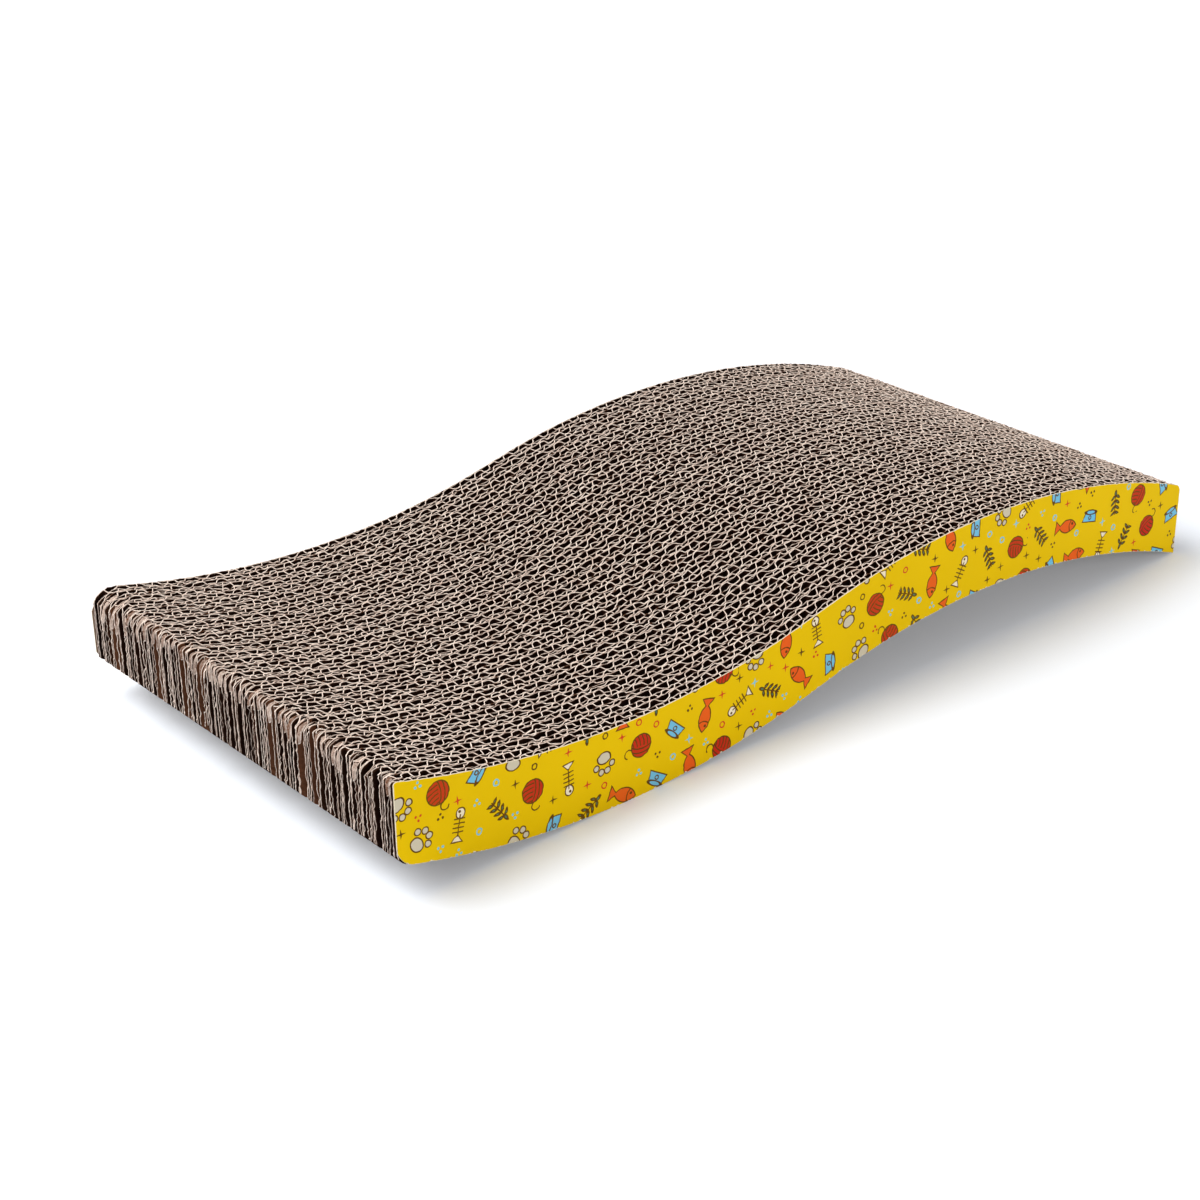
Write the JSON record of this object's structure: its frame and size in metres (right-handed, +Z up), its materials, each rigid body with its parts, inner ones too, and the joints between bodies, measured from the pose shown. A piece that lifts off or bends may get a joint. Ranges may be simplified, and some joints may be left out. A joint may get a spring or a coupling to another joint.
{
  "type": "cardboard cat scratcher",
  "caption": "Free-standing wavy cat scratching panel of glued corrugated boards with upright open flutes, between printed paper side covers.",
  "frame": {"origin": "on the floor, below the middle of the length and of the glued stack", "axes": "+X along the length from the raised end over the dip to the hump, +Y across the stack from the near cover to the far cover, +Z up"},
  "size_m": [0.43, 0.205, 0.057],
  "materials": {
    "corrugated_board": "raw die-cut kraft paper edges",
    "printed_paper": "printed yellow paper with a faint sheen"
  },
  "bodies": {
    "root": {"near_cover": "printed_paper", "far_cover": "printed_paper", "board_01": "corrugated_board", "board_02": "corrugated_board", "board_03": "corrugated_board", "board_04": "corrugated_board", "board_05": "corrugated_board", "board_06": "corrugated_board", "board_07": "corrugated_board", "board_08": "corrugated_board", "board_09": "corrugated_board", "board_10": "corrugated_board", "board_11": "corrugated_board", "board_12": "corrugated_board", "board_13": "corrugated_board", "board_14": "corrugated_board", "board_15": "corrugated_board", "board_16": "corrugated_board", "board_17": "corrugated_board", "board_18": "corrugated_board", "board_19": "corrugated_board", "board_20": "corrugated_board", "board_21": "corrugated_board", "board_22": "corrugated_board", "board_23": "corrugated_board", "board_24": "corrugated_board", "board_25": "corrugated_board", "board_26": "corrugated_board", "board_27": "corrugated_board", "board_28": "corrugated_board", "board_29": "corrugated_board", "board_30": "corrugated_board", "board_31": "corrugated_board"}
  },
  "joints": []
}
